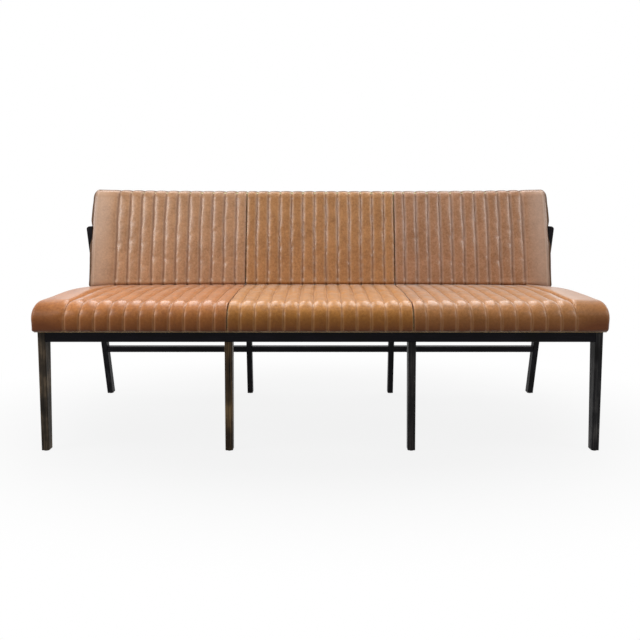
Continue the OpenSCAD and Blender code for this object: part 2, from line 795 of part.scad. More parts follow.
mirror([1, 0, 0]) front_leg();  // front_leg_left
front_leg();  // front_leg_right
mirror([1, 0, 0]) front_leg_inner();  // front_leg_inner_left
front_leg_inner();  // front_leg_inner_right
mirror([1, 0, 0]) rear_post();  // rear_post_left
rear_post();  // rear_post_right
mirror([1, 0, 0]) rear_leg_inner();  // rear_leg_inner_left
rear_leg_inner();  // rear_leg_inner_right
front_apron();
rear_rail();
mirror([1, 0, 0]) side_rail();  // side_rail_left
side_rail();  // side_rail_right
mirror([1, 0, 0]) cross_rail();  // cross_rail_left
cross_rail();  // cross_rail_right
mirror([1, 0, 0]) stretcher_side();  // stretcher_left
stretcher_middle();
stretcher_side();  // stretcher_right
corner_blocks();
dowels();
block_screws();
foot_glides();
seat_board();
seat_screws();
seat_foam();
dust_cover();
mirror([1, 0, 0]) seat_cover(seat_side_rows);  // seat_cover_left
seat_cover(middle_rows);  // seat_cover_middle
seat_cover(seat_side_rows);  // seat_cover_right
mirror([1, 0, 0]) back_end_stile();  // back_stile_left
back_end_stile();  // back_stile_right
mirror([1, 0, 0]) back_inner_stile();  // back_stile_inner_left
back_inner_stile();  // back_stile_inner_right
back_long_rail(top_in - stile_w);  // back_top_rail
back_long_rail(foot_in);  // back_bottom_rail
back_ply();
back_foam();
mirror([1, 0, 0]) back_cover(back_side_rows);  // back_cover_left
back_cover(middle_rows);  // back_cover_middle
back_cover(back_side_rows);  // back_cover_right
back_rear_panel();
both() back_strap();  // back_straps
strap_screws();
post_bolts();
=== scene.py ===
import math

import bmesh
import bpy
import numpy as np
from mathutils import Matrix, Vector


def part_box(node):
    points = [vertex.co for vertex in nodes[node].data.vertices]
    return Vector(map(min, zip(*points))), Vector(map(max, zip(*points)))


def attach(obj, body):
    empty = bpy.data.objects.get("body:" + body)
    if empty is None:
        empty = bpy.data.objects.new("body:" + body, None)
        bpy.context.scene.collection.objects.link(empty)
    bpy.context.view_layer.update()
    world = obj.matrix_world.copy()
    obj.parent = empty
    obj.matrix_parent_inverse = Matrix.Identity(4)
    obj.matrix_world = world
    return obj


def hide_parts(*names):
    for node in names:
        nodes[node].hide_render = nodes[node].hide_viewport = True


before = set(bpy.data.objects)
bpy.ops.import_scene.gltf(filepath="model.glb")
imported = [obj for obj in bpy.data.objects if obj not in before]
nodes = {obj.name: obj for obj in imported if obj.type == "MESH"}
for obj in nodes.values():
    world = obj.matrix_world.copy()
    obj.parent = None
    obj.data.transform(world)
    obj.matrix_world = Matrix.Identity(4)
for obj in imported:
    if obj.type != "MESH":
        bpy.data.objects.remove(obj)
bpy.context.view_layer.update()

# THE VIEWPOINT
# The bench is seen square from the front, from about two metres away and the height of its back.
# The picture's middle lies well below the level of the eye, so the view is shifted and hardly tilted.
FRAME_PX = 640
sensor_w = 36
focal_px = 574.8
principal_row_px = 231.9
tilt_down = 0.052
eye = (-0.001, -2.0904, 0.8011)
camera = bpy.data.objects.new("camera", bpy.data.cameras.new("camera"))
camera.data.sensor_width = sensor_w
camera.data.lens = sensor_w * focal_px / FRAME_PX
camera.data.shift_y = (principal_row_px - FRAME_PX / 2) / FRAME_PX
camera.location = eye
camera.rotation_euler = (math.pi / 2 - tilt_down, 0, 0)
bpy.context.scene.collection.objects.link(camera)
bpy.context.scene.camera = camera
bpy.context.scene.view_settings.view_transform = "Standard"

# THE STAINED WOODEN FRAME
# Legs, posts, rails and stretchers are planed beech, dowelled together, stained espresso and lacquered.
# The stain sinks deepest into the pores, so dark streaks follow the grain of each stick, and shoes have
# scuffed the legs a little above the floor.
MM = 0.001


def linear(colour):
    """An sRGB hex colour as the linear RGBA that a shader takes."""
    parts = [int(colour[i : i + 2], 16) / 255 for i in (1, 3, 5)]
    return [c / 12.92 if c <= 0.04045 else ((c + 0.055) / 1.055) ** 2.4 for c in parts] + [1]


def add(tree, kind, inputs, stops=(), **settings):
    """Adds a node: inputs are values or other nodes' outputs by socket, and stops are a ramp's colours."""
    node = tree.nodes.new(kind)
    for name, value in settings.items():
        setattr(node, name, value)
    for i, (place, colour) in enumerate(stops):
        stop = node.color_ramp.elements[i] if i < 2 else node.color_ramp.elements.new(place)
        stop.position = place
        stop.color = linear(colour)
    for name, value in inputs.items():
        if isinstance(value, bpy.types.NodeSocket):
            tree.links.new(value, node.inputs[name])
        else:
            node.inputs[name].default_value = value
    return node


def finish_of(name, **surface):
    """A new material with its shader; surface gives the values that are the same all over it."""
    material = bpy.data.materials.new(name)
    material.use_nodes = True
    tree = material.node_tree
    shader = tree.nodes["Principled BSDF"]
    for key, value in surface.items():
        shader.inputs[key.replace("_", " ")].default_value = value
    return material, tree, shader


def stained_beech(name, along, tone, streak):
    """Beech with espresso stain and satin lacquer; along is the axis that this stick's grain follows."""
    # The stain is nearly black with paler streaks, and the lacquer gives it a low, broken shine.
    # Beech pores are about 0.1 mm wide, too fine to show, so the streaks are drawn 4 mm wide.
    grain_w = 4 * MM
    grain_l = 150 * MM
    cloud_w = 90 * MM
    scuff_h = 90 * MM
    material, tree, shader = finish_of(name, Specular_IOR_Level=0.08)
    place = add(tree, "ShaderNodeTexCoord", {})
    shrink = [1 / grain_w] * 3
    shrink[along] = 1 / grain_l
    fibres = add(tree, "ShaderNodeMapping", {"Vector": place.outputs["Object"], "Scale": shrink})
    streaks = add(tree, "ShaderNodeTexNoise", {
        "Vector": fibres.outputs[0], "Scale": 1, "Detail": 5, "Roughness": 0.62, "Distortion": 0.25})
    clouds = add(tree, "ShaderNodeTexNoise", {
        "Vector": place.outputs["Object"], "Scale": 1 / cloud_w, "Detail": 3})
    both = add(tree, "ShaderNodeMath", {0: streaks.outputs[0], 1: clouds.outputs[0]}, operation="ADD")
    half = add(tree, "ShaderNodeMath", {0: both.outputs[0], 1: 0.5}, operation="MULTIPLY")
    ramp = add(tree, "ShaderNodeValToRGB", {0: half.outputs[0]},
               stops=[(0.36, "#070605"), (0.65, streak), (0.5, tone)])
    height = add(tree, "ShaderNodeSeparateXYZ", {0: place.outputs["Object"]})
    low_down = add(tree, "ShaderNodeMapRange", {
        "Value": height.outputs["Z"], "From Min": 0, "From Max": scuff_h, "To Min": 0.9, "To Max": 0})
    scuffs = add(tree, "ShaderNodeMapRange", {
        "Value": streaks.outputs[0], "From Min": 0.55, "From Max": 0.75, "To Max": 0.6})
    worn = add(tree, "ShaderNodeMath", {0: low_down.outputs[0], 1: scuffs.outputs[0]}, operation="MULTIPLY")
    colour = add(tree, "ShaderNodeMix", {
        0: worn.outputs[0], 6: ramp.outputs[0], 7: linear("#6a5848")}, data_type="RGBA")
    tree.links.new(colour.outputs[2], shader.inputs["Base Color"])
    gloss = add(tree, "ShaderNodeMapRange", {
        "Value": streaks.outputs[0], "From Min": 0.3, "From Max": 0.7, "To Min": 0.5, "To Max": 0.32})
    tree.links.new(gloss.outputs[0], shader.inputs["Roughness"])
    relief = add(tree, "ShaderNodeBump", {
        "Height": streaks.outputs[0], "Strength": 0.35, "Distance": 0.25 * MM})
    tree.links.new(relief.outputs[0], shader.inputs["Normal"])
    return material


def finish_node(name, material):
    """Gives a node of the frame its material."""
    mesh = nodes[name].data
    mesh.materials.clear()
    mesh.materials.append(material)


# Each stick has its own tone, partly from its board and partly painted light and shade: the lit legs at the
# left are browner, the pieces at the right and rear darker.
lit_and_shaded_tones = {
    "front_leg_left": ("#3c352d", "#8a7760"), "front_leg_inner_left": ("#46382a", "#8c7250"),
    "front_leg_inner_right": ("#1f1d1e", "#4a4644"), "front_leg_right": ("#242325", "#565452"),
    "rear_post_left": ("#121115", "#302f33"), "rear_post_right": ("#121115", "#302f33"),
    "rear_leg_inner_left": ("#100e12", "#2a282c"), "rear_leg_inner_right": ("#100e12", "#2a282c"),
}
for name, (tone, streak) in lit_and_shaded_tones.items():
    finish_node(name, stained_beech("stained_beech_" + name, 2, tone, streak))
# The rails under the seat are near black, which paints the shade they lie in.
shaded_rail_beech = stained_beech("stained_beech_rails", 0, "#0a080e", "#1b181e")
for name in ("front_apron", "rear_rail"):
    finish_node(name, shaded_rail_beech)
low_beech = stained_beech("stained_beech_stretchers", 0, "#131116", "#2f2c31")
for name in ("stretcher_left", "stretcher_middle", "stretcher_right"):
    finish_node(name, low_beech)
deep_beech = stained_beech("stained_beech_cross_rails", 1, "#121012", "#2a2628")
for name in ("side_rail_left", "side_rail_right", "cross_rail_left", "cross_rail_right"):
    finish_node(name, deep_beech)

# THE PLAIN WOOD INSIDE
# Corner blocks, dowels and the back's stiles are softwood, and the seat board, the back's rails and the
# sheet on them are birch plywood. All of it is left raw, glued or screwed, and hidden from the front.


def raw_timber(name, along, pale, dark):
    """Unfinished timber whose growth lines follow the axis along."""
    # Raw wood is pale, dry and matt, and its darker growth lines are drawn at their real width.
    line_w = 3.6 * MM
    line_l = 50 * MM
    material, tree, shader = finish_of(name, Roughness=0.75)
    place = add(tree, "ShaderNodeTexCoord", {})
    shrink = [1 / line_w] * 3
    shrink[along] = 1 / line_l
    fibres = add(tree, "ShaderNodeMapping", {"Vector": place.outputs["Object"], "Scale": shrink})
    lines = add(tree, "ShaderNodeTexNoise", {
        "Vector": fibres.outputs[0], "Scale": 1, "Detail": 6, "Distortion": 0.6})
    ramp = add(tree, "ShaderNodeValToRGB", {0: lines.outputs[0]}, stops=[(0.35, dark), (0.62, pale)])
    tree.links.new(ramp.outputs[0], shader.inputs["Base Color"])
    relief = add(tree, "ShaderNodeBump", {
        "Height": lines.outputs[0], "Strength": 0.3, "Distance": 0.2 * MM})
    tree.links.new(relief.outputs[0], shader.inputs["Normal"])
    return material


birch_ply = raw_timber("birch_plywood", 0, "#d9bd90", "#bb9866")
softwood = raw_timber("raw_softwood", 2, "#dcc398", "#c09a68")
for name in ("seat_board", "back_ply", "back_top_rail", "back_bottom_rail"):
    finish_node(name, birch_ply)
for name in ("corner_blocks", "dowels", "back_stile_left", "back_stile_right",
             "back_stile_inner_left", "back_stile_inner_right"):
    finish_node(name, softwood)

# METAL AND NYLON
# The straps behind the back are bent flat steel, powder coated black and screwed on. Screws and bolts
# are zinc plated steel. The glides pressed into the feet are moulded nylon.


def grainy(name, colour, dark, grain, depth, **surface):
    """A finish of one colour with a fine, even grain."""
    # The real grain of each is well under a millimetre, too fine to show, so it is drawn 0.8 to 2 mm wide.
    material, tree, shader = finish_of(name, **surface)
    place = add(tree, "ShaderNodeTexCoord", {})
    spots = add(tree, "ShaderNodeTexNoise", {
        "Vector": place.outputs["Object"], "Scale": 1 / grain, "Detail": 3})
    ramp = add(tree, "ShaderNodeValToRGB", {0: spots.outputs[0]}, stops=[(0.3, dark), (0.7, colour)])
    tree.links.new(ramp.outputs[0], shader.inputs["Base Color"])
    relief = add(tree, "ShaderNodeBump", {
        "Height": spots.outputs[0], "Strength": 0.3, "Distance": depth})
    tree.links.new(relief.outputs[0], shader.inputs["Normal"])
    return material


# Powder coat is a satin black with a faint orange peel.
powder_coat = grainy("powder_coated_steel", "#26262a", "#1c1c1f", 1.2 * MM, 0.1 * MM, Roughness=0.5)
# Zinc plate is a bright, slightly mottled grey metal.
zinc = grainy("zinc_plated_steel", "#b9bcc0", "#989ba0", 2 * MM, 0.05 * MM, Metallic=1.0, Roughness=0.35)
# Moulded nylon is a dull black, a little uneven.
nylon = grainy("moulded_nylon", "#2b2b2b", "#222222", 0.8 * MM, 0.05 * MM, Roughness=0.55)
finish_node("back_straps", powder_coat)
for name in ("seat_screws", "block_screws", "strap_screws", "post_bolts"):
    finish_node(name, zinc)
finish_node("foot_glides", nylon)

# THE DUST COVER
# Black non-woven cloth closes the underside of the seat board in the three bays of the frame.
# Each piece is cut to its bay, its edge is turned under, and it is stapled tight to the board.
cloth_t = 0.5 * MM
hem_w = 12 * MM
hem_step = 0.2 * MM
slack_w = 60 * MM
wave_x = 31 * MM
wave_y = 43 * MM
bay_gap = 3 * MM
block_room = 28 * MM
cover_low, cover_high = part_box("dust_cover")
rail_low, rail_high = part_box("cross_rail_right")
# Non-woven cloth is a dead matt black with the soft, uneven look of felt.
non_woven = grainy("non_woven_cloth", "#1b1b1d", "#101012", 1.5 * MM, 0.3 * MM, Roughness=0.95)


def put(name, mesh):
    """Puts a mesh into the scene as a piece of its own."""
    piece = bpy.data.objects.new(name, mesh)
    bpy.context.scene.collection.objects.link(piece)
    return piece


def stretched_cloth(name, x0, x1, y0, y1):
    """A piece of cloth just under the board, a little slack between its stapled edges."""
    across = np.linspace(x0, x1, 49)
    along = np.linspace(y0, y1, 37)
    x, y = np.meshgrid(across, along, indexing="ij")
    inside = np.minimum(np.minimum(x - x0, x1 - x), np.minimum(y - y0, y1 - y))
    waves = 0.25 + 0.15 * np.sin(x / wave_x) * np.sin(y / wave_y)
    slack = np.clip(inside / slack_w, 0, 1) * waves
    z = cover_high.z - cloth_t - MM * slack - np.where(inside < hem_w, 0.0, hem_step)
    points = np.column_stack([x.ravel(), y.ravel(), z.ravel()])
    n = len(along)
    faces = [(i * n + j, i * n + j + 1, (i + 1) * n + j + 1, (i + 1) * n + j)
             for i in range(len(across) - 1) for j in range(n - 1)]
    mesh = bpy.data.meshes.new(name)
    mesh.from_pydata(points.tolist(), [], faces)
    piece = put(name, mesh)
    thick = piece.modifiers.new("thickness", "SOLIDIFY")
    thick.thickness = cloth_t
    thick.offset = 0
    mesh.materials.append(non_woven)
    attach(piece, "root")
    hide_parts("dust_cover")


bay_end = rail_low.x - bay_gap
outer_start = rail_high.x + bay_gap
outer_front = cover_low.y + block_room
outer_rear = cover_high.y - block_room
stretched_cloth("dust_cover_middle", -bay_end, bay_end, cover_low.y, cover_high.y)
stretched_cloth("dust_cover_right", outer_start, cover_high.x, outer_front, outer_rear)
stretched_cloth("dust_cover_left", cover_low.x, -outer_start, outer_front, outer_rear)

# THE FOAM
# Cut blocks of upholstery foam: a thick one with a round nose lies on the seat board, and a thinner one
# on the plywood of the leaning back. The leather covers are drawn over them.
lean = math.radians(10.8)
foot_y = 147.1 * MM
foot_z = 477.5 * MM
clear = 0.3 * MM
# A second point this close to a corner keeps it crisp when the mesh is smoothed.
crisp = MM


def leant(depth, height):
    """A point of the back, given by its depth behind the face and its height up the lean, in Y and Z."""
    return np.column_stack([
        foot_y + depth * math.cos(lean) + height * math.sin(lean),
        foot_z - depth * math.sin(lean) + height * math.cos(lean)])


def arc(y, z, ry, rz, start, end, n):
    """Points along part of an ellipse about (y, z); angles are in degrees from the +y side."""
    turn = np.radians(np.linspace(start, end, n))
    return np.column_stack([y + ry * np.cos(turn), z + rz * np.sin(turn)])


def line(y0, z0, y1, z1, n):
    """n points from one end of a straight stretch towards the other, without its last point."""
    return np.column_stack([np.linspace(y0, y1, n + 1)[:-1], np.linspace(z0, z1, n + 1)[:-1]])


def tube_faces(m, n):
    """Faces round a form of m rings of n points each, and then its first and its last end."""
    sides = [(i * n + j, (i + 1) * n + j, (i + 1) * n + (j + 1) % n, i * n + (j + 1) % n)
             for i in range(m - 1) for j in range(n)]
    return sides + [tuple(range(n)), tuple(range(m * n - 1, (m - 1) * n - 1, -1))]


def tidy_faces(mesh):
    """Joins points that lie in one place and turns every face outward."""
    form = bmesh.new()
    form.from_mesh(mesh)
    bmesh.ops.remove_doubles(form, verts=form.verts, dist=0.02 * MM)
    bmesh.ops.recalc_face_normals(form, faces=form.faces)
    form.to_mesh(mesh)
    form.free()


def lofted(name, xs, rings):
    """A closed form over rings of points in Y and Z, one at each x."""
    points = np.vstack([np.column_stack([np.full(len(r), x), r]) for x, r in zip(xs, rings)])
    mesh = bpy.data.meshes.new(name)
    mesh.from_pydata(points.tolist(), [], tube_faces(len(xs), len(rings[0])))
    tidy_faces(mesh)
    return mesh


def block_ring(y0, y1, z0, z1, r_front, r_edge):
    """The outline of a cut block: its top front edge is rounded by r_front and the others by r_edge."""
    return np.vstack([
        arc(y1 - r_edge, z0 + r_edge, r_edge, r_edge, -90, 0, 4),
        arc(y1 - r_edge, z1 - r_edge, r_edge, r_edge, 0, 90, 4),
        arc(y0 + r_front, z1 - r_front, r_front, r_front, 90, 180, 10),
        arc(y0 + r_edge, z0 + r_edge, r_edge, r_edge, 180, 270, 4),
    ])


# Open cell foam is pale cream and dull, pitted all over by its cells.
open_cell = grainy("open_cell_foam", "#eae2b6", "#d6cb95", 1.5 * MM, 0.6 * MM, Roughness=0.95)
foam_low, foam_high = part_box("seat_foam")
foam_end_r = 26 * MM
foam_nose_r = 34 * MM
foam_edge_r = 1.5 * MM
foam_rings = []
foam_xs = []
for turn in np.radians(np.linspace(0, 90, 6)):
    drop = foam_end_r * (1 - math.cos(turn))
    foam_xs.append(foam_high.x - foam_end_r + foam_end_r * math.sin(turn))
    foam_rings.append(block_ring(
        foam_low.y, foam_high.y, foam_low.z, foam_high.z - drop, foam_nose_r - 0.6 * drop, foam_edge_r))
foam_xs = [-x for x in reversed(foam_xs)] + foam_xs
foam_rings = foam_rings[::-1] + foam_rings
seat_foam = put("seat_foam_block", lofted("seat_foam_block", foam_xs, foam_rings))

# The back's foam lies in a pocket of the back covers, given here by its depth and its heights.
back_len = 385.8 * MM
pocket_depth = 12 * MM
pocket_low = 28 * MM
pocket_top = back_len - 15.7 * MM
back_foam_rear = 32 * MM
back_foam_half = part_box("back_foam")[1].x
back_foam_ring = block_ring(
    pocket_depth + clear, back_foam_rear, pocket_low + clear, pocket_top - clear, foam_edge_r, foam_edge_r)
back_foam_ring = leant(back_foam_ring[:, 0], back_foam_ring[:, 1])
back_foam_xs = np.linspace(-back_foam_half, back_foam_half, 7)
back_foam = put("back_foam_block", lofted("back_foam_block", back_foam_xs, [back_foam_ring] * 7))
for piece, node in ((seat_foam, "seat_foam"), (back_foam, "back_foam")):
    piece.data.materials.append(open_cell)
    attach(piece, "root")
    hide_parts(node)

# THE SEAT CUSHIONS
# Three lengths of tan leather, quilted over wadding in channels that run from the rear over the nose to
# the foot, are sewn side to side, drawn over the foam and stapled to the edge of the seat board.
middle_channel_w = 45.9 * MM
seam_channel_w = 41 * MM
middle_channels = 13
side_channels = 11
end_panel_w = 113.5 * MM
seam_gap = 0.2 * MM
seam_x = (middle_channels - 2) * middle_channel_w / 2 + seam_channel_w
seat_low_corner, seat_high_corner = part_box("seat_cover_right")
seat_half = seat_high_corner.x
seat_front = seat_low_corner.y
seat_rear = seat_high_corner.y
seat_top = seat_high_corner.z
seat_low = seat_low_corner.z
last_groove_x = seat_half - end_panel_w
side_channel_w = (last_groove_x - seam_x - seam_channel_w) / (side_channels - 1)
middle_widths = [seam_channel_w] + [middle_channel_w] * (middle_channels - 2) + [seam_channel_w]
side_widths = [seam_channel_w] + [side_channel_w] * (side_channels - 1)
back_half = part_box("back_cover_right")[1].x
board_low, board_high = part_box("seat_board")
pocket_half = foam_high.x + clear
pocket_front = board_low.y - clear
pocket_rear = board_high.y + clear
pocket_ceiling = foam_high.z + clear

# Each point of the leather knows how far it is from the nearest stitching. Boxing, the strip that closes an
# end or the rear of the top, painted darker as shade, has a mark below zero instead, and hidden points lie
# far from any.
boxing_mark = -5 * MM
unsewn = 1.0


def semi_aniline_leather(name, colours, sheen, groove_shade_w, foot_z, foot_shade, end_shade, end_painted_sheen):
    """Leather in the colours of the hide, its mottle, a groove's sides, worn and painted paler as lit, the
    groove, painted as shade over its given width, and the boxing, painted darker as shade. Shade is painted
    at the foot, and at the ends there is painted shade on the seat and painted sheen on the back."""
    # Semi-aniline hide has a clear dye, so its mottle shows, with a pebbled grain and a soft waxy shine that
    # is made weaker wherever shade is painted. Its pebbles are about 0.5 mm wide, too fine to show, so they
    # are drawn 2.6 mm wide.
    pebble = 2.6 * MM
    mottle_w = 9 * MM
    cloud_w = 70 * MM
    lit_worn_w = 4 * MM
    groove_core_w = 0.6 * MM
    roll_from = 815 * MM
    roll_to = 848 * MM
    end_from = 800 * MM
    end_to = 870 * MM
    tan, deep, lit_worn_colour, sewn, boxed = colours
    material, tree, shader = finish_of(
        name, Specular_IOR_Level=0.12, Coat_Roughness=0.25, Coat_IOR=1.32, Sheen_Roughness=0.4)
    place = add(tree, "ShaderNodeTexCoord", {})
    hide = add(tree, "ShaderNodeTexNoise", {
        "Vector": place.outputs["Object"], "Scale": 1 / mottle_w, "Detail": 6, "Roughness": 0.8})
    clouds = add(tree, "ShaderNodeTexNoise", {
        "Vector": place.outputs["Object"], "Scale": 1 / cloud_w, "Detail": 3})
    mixed = add(tree, "ShaderNodeMix", {0: 0.3, 2: hide.outputs[0], 3: clouds.outputs[0]})
    ramp = add(tree, "ShaderNodeValToRGB", {0: mixed.outputs[0]}, stops=[(0.38, deep), (0.62, tan)])

    # Painted shade darkens it at the foot, along the top of the back and, on the seat, at the ends.
    height = add(tree, "ShaderNodeSeparateXYZ", {0: place.outputs["Object"]})
    shaded_foot = add(tree, "ShaderNodeMapRange", {
        "Value": height.outputs["Z"], "From Min": foot_z[0], "From Max": foot_z[1],
        "To Min": foot_shade, "To Max": 0})
    shaded_top = add(tree, "ShaderNodeMapRange", {
        "Value": height.outputs["Z"], "From Min": roll_from, "From Max": roll_to,
        "To Min": 0, "To Max": 0.35})
    sideways = add(tree, "ShaderNodeMath", {0: height.outputs["X"]}, operation="ABSOLUTE")
    at_end = add(tree, "ShaderNodeMapRange", {
        "Value": sideways.outputs[0], "From Min": end_from, "From Max": end_to, "To Min": 0, "To Max": 1})
    lower = add(tree, "ShaderNodeMath", {0: shaded_foot.outputs[0], 1: shaded_top.outputs[0]}, operation="ADD")
    darker = add(tree, "ShaderNodeMath", {
        0: at_end.outputs[0], 1: end_shade, 2: lower.outputs[0]}, operation="MULTIPLY_ADD", use_clamp=True)
    shade_mix = add(tree, "ShaderNodeMix", {
        0: darker.outputs[0], 6: ramp.outputs[0], 7: linear("#65340f")}, data_type="RGBA")

    # Paler beside a groove, partly worn and partly a painted highlight of the lit shoulder, paler at the
    # back's ends as a painted sheen, and darker in a groove and on boxing as painted shade.
    near = add(tree, "ShaderNodeAttribute", {}, attribute_name="groove_near")
    lit_worn_mask = add(tree, "ShaderNodeMapRange", {
        "Value": near.outputs["Fac"], "From Min": groove_shade_w, "From Max": groove_shade_w + lit_worn_w,
        "To Min": 0.2, "To Max": 0})
    # At the back's ends the colour is mixed towards the pale one as a painted sheen.
    paler = add(tree, "ShaderNodeMath", {
        0: at_end.outputs[0], 1: end_painted_sheen, 2: lit_worn_mask.outputs[0]}, operation="MULTIPLY_ADD", use_clamp=True)
    lit_worn_mix = add(tree, "ShaderNodeMix", {
        0: paler.outputs[0], 6: shade_mix.outputs[2], 7: linear(lit_worn_colour)}, data_type="RGBA")
    # The sewn colour is painted shade in the groove, full at its middle and fading out to its sides.
    cut = add(tree, "ShaderNodeMapRange", {
        "Value": near.outputs["Fac"], "From Min": groove_core_w, "From Max": groove_shade_w, "To Min": 0.55, "To Max": 0})
    groove_shade_mix = add(tree, "ShaderNodeMix", {
        0: cut.outputs[0], 6: lit_worn_mix.outputs[2], 7: linear(sewn)}, data_type="RGBA")
    # The boxing's darker colour is painted shade; its leather is the same as the rest.
    boxing = add(tree, "ShaderNodeMapRange", {
        "Value": near.outputs["Fac"], "From Min": boxing_mark + MM, "From Max": -MM,
        "To Min": 1, "To Max": 0})
    colour = add(tree, "ShaderNodeMix", {
        0: boxing.outputs[0], 6: groove_shade_mix.outputs[2], 7: linear(boxed)}, data_type="RGBA")
    tree.links.new(colour.outputs[2], shader.inputs["Base Color"])

    # Wax gives it its shine, and the nap of the hide a pale bloom; the boxing has next to none.
    waxy = add(tree, "ShaderNodeMapRange", {
        "Value": darker.outputs[0], "From Min": 0, "From Max": 0.4, "To Min": 1, "To Max": 0.3})
    coated = add(tree, "ShaderNodeMath", {
        0: waxy.outputs[0], 1: boxing.outputs[0]}, operation="SUBTRACT", use_clamp=True)
    tree.links.new(coated.outputs[0], shader.inputs["Coat Weight"])
    bloom = add(tree, "ShaderNodeMapRange", {
        "Value": boxing.outputs[0], "From Min": 0, "From Max": 1, "To Min": sheen, "To Max": 0.02})
    tree.links.new(bloom.outputs[0], shader.inputs["Sheen Weight"])
    gloss = add(tree, "ShaderNodeMapRange", {
        "Value": hide.outputs[0], "From Min": 0.3, "From Max": 0.7, "To Min": 0.42, "To Max": 0.6})
    tree.links.new(gloss.outputs[0], shader.inputs["Roughness"])
    cells = add(tree, "ShaderNodeTexVoronoi", {
        "Vector": place.outputs["Object"], "Scale": 1 / pebble}, feature="SMOOTH_F1")
    grain = add(tree, "ShaderNodeBump", {
        "Height": cells.outputs[0], "Strength": 0.2, "Distance": 0.2 * MM})
    soft = add(tree, "ShaderNodeBump", {
        "Height": hide.outputs[0], "Strength": 0.2, "Distance": 0.4 * MM, "Normal": grain.outputs[0]})
    tree.links.new(soft.outputs[0], shader.inputs["Normal"])
    tree.links.new(soft.outputs[0], shader.inputs["Coat Normal"])
    return material


# Each length was cut from another hide, so their tans differ a little. The back's tans are paler and greyer
# than the seat's, with part of the sheen on it painted in, and the shade painted along its stitched lines is
# darker and wider.
painted_light_by_part = {
    "seat": {"groove_shade_w": 3 * MM, "foot_z": (400 * MM, 468 * MM),
             "foot_shade": 0.95, "end_shade": 0.28, "end_painted_sheen": 0},
    "back": {"groove_shade_w": 7 * MM, "foot_z": (476 * MM, 490 * MM),
             "foot_shade": 0.6, "end_shade": 0, "end_painted_sheen": 0.4},
}
hides = {}
# The colours are the hide, its mottle, the groove's sides, worn and painted paler as lit, the groove,
# painted as shade, and the boxing, painted darker as shade.
for part, where, sheen, *colours in (
    ("seat", "left", 0.2, "#c47e41", "#995c2c", "#d0a17a", "#96602f", "#7d4f2a"),
    ("seat", "middle", 0.32, "#c9883f", "#9d662a", "#d2a675", "#96602f", "#7d4f2a"),
    ("seat", "right", 0.4, "#bf8149", "#956432", "#cba27b", "#96602f", "#7d4f2a"),
    ("back", "left", 0.22, "#c39670", "#9c7350", "#cbb09c", "#775031", "#5a3f2a"),
    ("back", "middle", 0.22, "#be8b59", "#96683d", "#d4b18e", "#724b2c", "#5a3f2a"),
    ("back", "right", 0.25, "#b58766", "#906541", "#c8b0a0", "#6f4b2e", "#5a3f2a"),
):
    hides[part, where] = semi_aniline_leather(
        "semi_aniline_leather_" + part + "_" + where, colours, sheen, **painted_light_by_part[part])

bench_sag = 6 * MM
panel_slope = 5 * MM


def end_fall(x):
    """The seat and the foot of the back lie a little lower towards the ends of the bench."""
    return bench_sag * (min(abs(x), back_half) / back_half) ** 4


def end_slope(x):
    """The plain panel at an end of the seat slopes down towards the side."""
    return panel_slope * min(1, max(0, (abs(x) - last_groove_x) / (seat_half - last_groove_x))) ** 1.5


def seat_pocket(front, low, rear, hollow):
    """The inner side of the cover, round the foam and the board; where there is none it lies flat below."""
    points_round_pocket = 14
    lip_h = 0.5 * MM
    hem_in = 2 * MM
    before_rear = 40 * MM
    if not hollow:
        flat = np.linspace(front, rear - hem_in, points_round_pocket)
        return np.column_stack([flat, np.full(points_round_pocket, low)])
    r = foam_nose_r
    return np.vstack([
        [[front, low + lip_h], [front, (low + pocket_ceiling - r) / 2]],
        arc(front + r, pocket_ceiling - r, r, r, 180, 90, 6),
        [[(front + pocket_rear) / 2, pocket_ceiling], [pocket_rear - before_rear, pocket_ceiling],
         [pocket_rear - crisp, pocket_ceiling], [pocket_rear, pocket_ceiling - crisp],
         [pocket_rear, (low + pocket_ceiling) / 2], [pocket_rear, low]],
    ])


